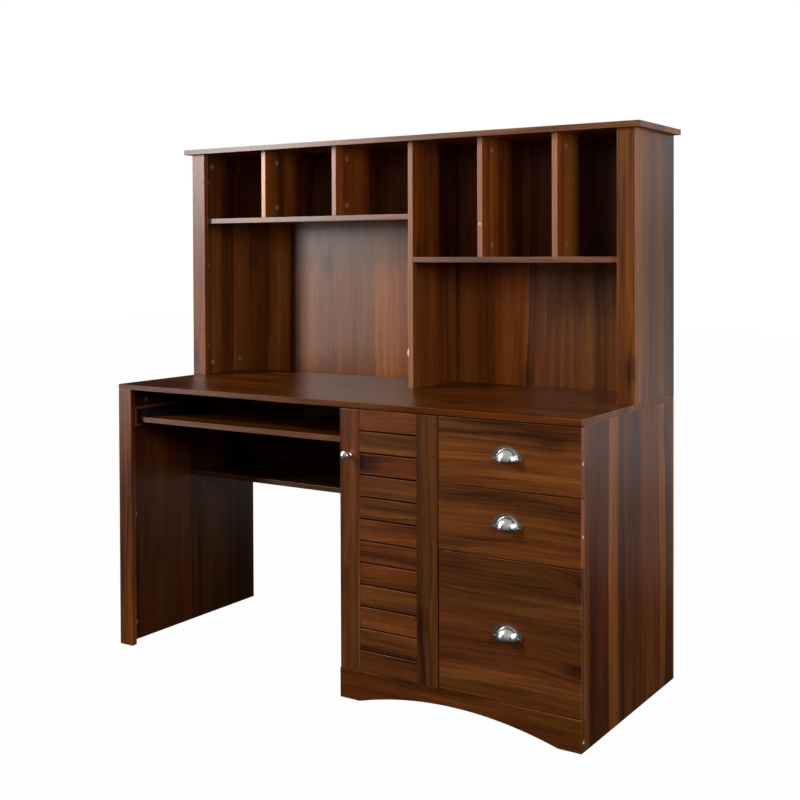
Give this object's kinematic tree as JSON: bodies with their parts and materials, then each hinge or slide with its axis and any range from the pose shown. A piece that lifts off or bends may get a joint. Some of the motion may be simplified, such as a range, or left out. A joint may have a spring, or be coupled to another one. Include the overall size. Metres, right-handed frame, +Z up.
{
  "type": "desk with hutch",
  "caption": "Pedestal desk with a full-width hutch, a sliding keyboard tray, a louvred door and a stack of drawers over an arched plinth.",
  "frame": {"origin": "centre of the whole footprint, on the floor", "axes": "+X to the right of a sitter, +Y towards the back, +Z up"},
  "size_m": [1.506, 0.6154, 1.462],
  "materials": {
    "walnut_laminate": "satin walnut-look laminate with a streaky grain",
    "drawer_box": "matt brown melamine",
    "satin_nickel": "polished nickel",
    "zinc_hardware": "zinc plated",
    "black_slides": "black painted steel",
    "pale_plugs": "matt tan plastic"
  },
  "bodies": {
    "frame": {"desk_top": "walnut_laminate", "left_end_panel": "walnut_laminate", "right_end_panel": "walnut_laminate", "left_front_stile": "walnut_laminate", "centre_partition": "walnut_laminate", "drawer_partition": "walnut_laminate", "cabinet_bottom": "walnut_laminate", "cabinet_back": "walnut_laminate", "knee_shelf": "walnut_laminate", "modesty_panel": "walnut_laminate", "arched_plinth": "walnut_laminate", "hutch_left_side": "walnut_laminate", "hutch_right_side": "walnut_laminate", "hutch_left_stile": "walnut_laminate", "hutch_right_stile": "walnut_laminate", "hutch_top_board": "walnut_laminate", "hutch_main_divider": "walnut_laminate", "hutch_left_shelf": "walnut_laminate", "hutch_right_shelf": "walnut_laminate", "hutch_back_panel": "walnut_laminate", "left_cubby_dividers": "walnut_laminate", "right_cubby_dividers": "walnut_laminate", "tray_spacer": "walnut_laminate", "tray_fixed_rails": "black_slides", "drawer_fixed_rails": "black_slides", "hinge_arms": "zinc_hardware", "cam_locks": "zinc_hardware", "edge_plugs": "pale_plugs"},
    "tray": {"keyboard_tray": "walnut_laminate", "tray_runners": "black_slides"},
    "door": {"door_hinge_stile": "walnut_laminate", "door_knob_stile": "walnut_laminate", "door_slats": "walnut_laminate", "door_knob": "satin_nickel", "door_knob_screw": "zinc_hardware", "door_hinge_cups": "zinc_hardware"},
    "top_drawer": {"top_drawer_front": "walnut_laminate", "top_drawer_sides": "drawer_box", "top_drawer_back": "drawer_box", "top_drawer_floor": "drawer_box", "top_drawer_pull": "satin_nickel", "top_drawer_pull_screws": "zinc_hardware", "top_drawer_runners": "black_slides", "top_drawer_edge_plug": "pale_plugs"},
    "middle_drawer": {"middle_drawer_front": "walnut_laminate", "middle_drawer_sides": "drawer_box", "middle_drawer_back": "drawer_box", "middle_drawer_floor": "drawer_box", "middle_drawer_pull": "satin_nickel", "middle_drawer_pull_screws": "zinc_hardware", "middle_drawer_runners": "black_slides", "middle_drawer_edge_plug": "pale_plugs"},
    "file_drawer": {"file_drawer_front": "walnut_laminate", "file_drawer_sides": "drawer_box", "file_drawer_back": "drawer_box", "file_drawer_floor": "drawer_box", "file_drawer_pull": "satin_nickel", "file_drawer_pull_screws": "zinc_hardware", "file_drawer_runners": "black_slides"}
  },
  "joints": [
    {"name": "tray_slide", "type": "slide", "parent": "frame", "child": "tray", "axis": [0, -1, 0], "range_m": [0, 0.25]},
    {"name": "door_hinge", "type": "hinge", "parent": "frame", "child": "door", "pos_m": [0.3535, -0.27925, 0.41], "axis": [0, 0, 1], "range_deg": [0, 90]},
    {"name": "top_drawer_slide", "type": "slide", "parent": "frame", "child": "top_drawer", "axis": [0, -1, 0], "range_m": [0, 0.24]},
    {"name": "middle_drawer_slide", "type": "slide", "parent": "frame", "child": "middle_drawer", "axis": [0, -1, 0], "range_m": [0, 0.24]},
    {"name": "file_drawer_slide", "type": "slide", "parent": "frame", "child": "file_drawer", "axis": [0, -1, 0], "range_m": [0, 0.38]}
  ]
}
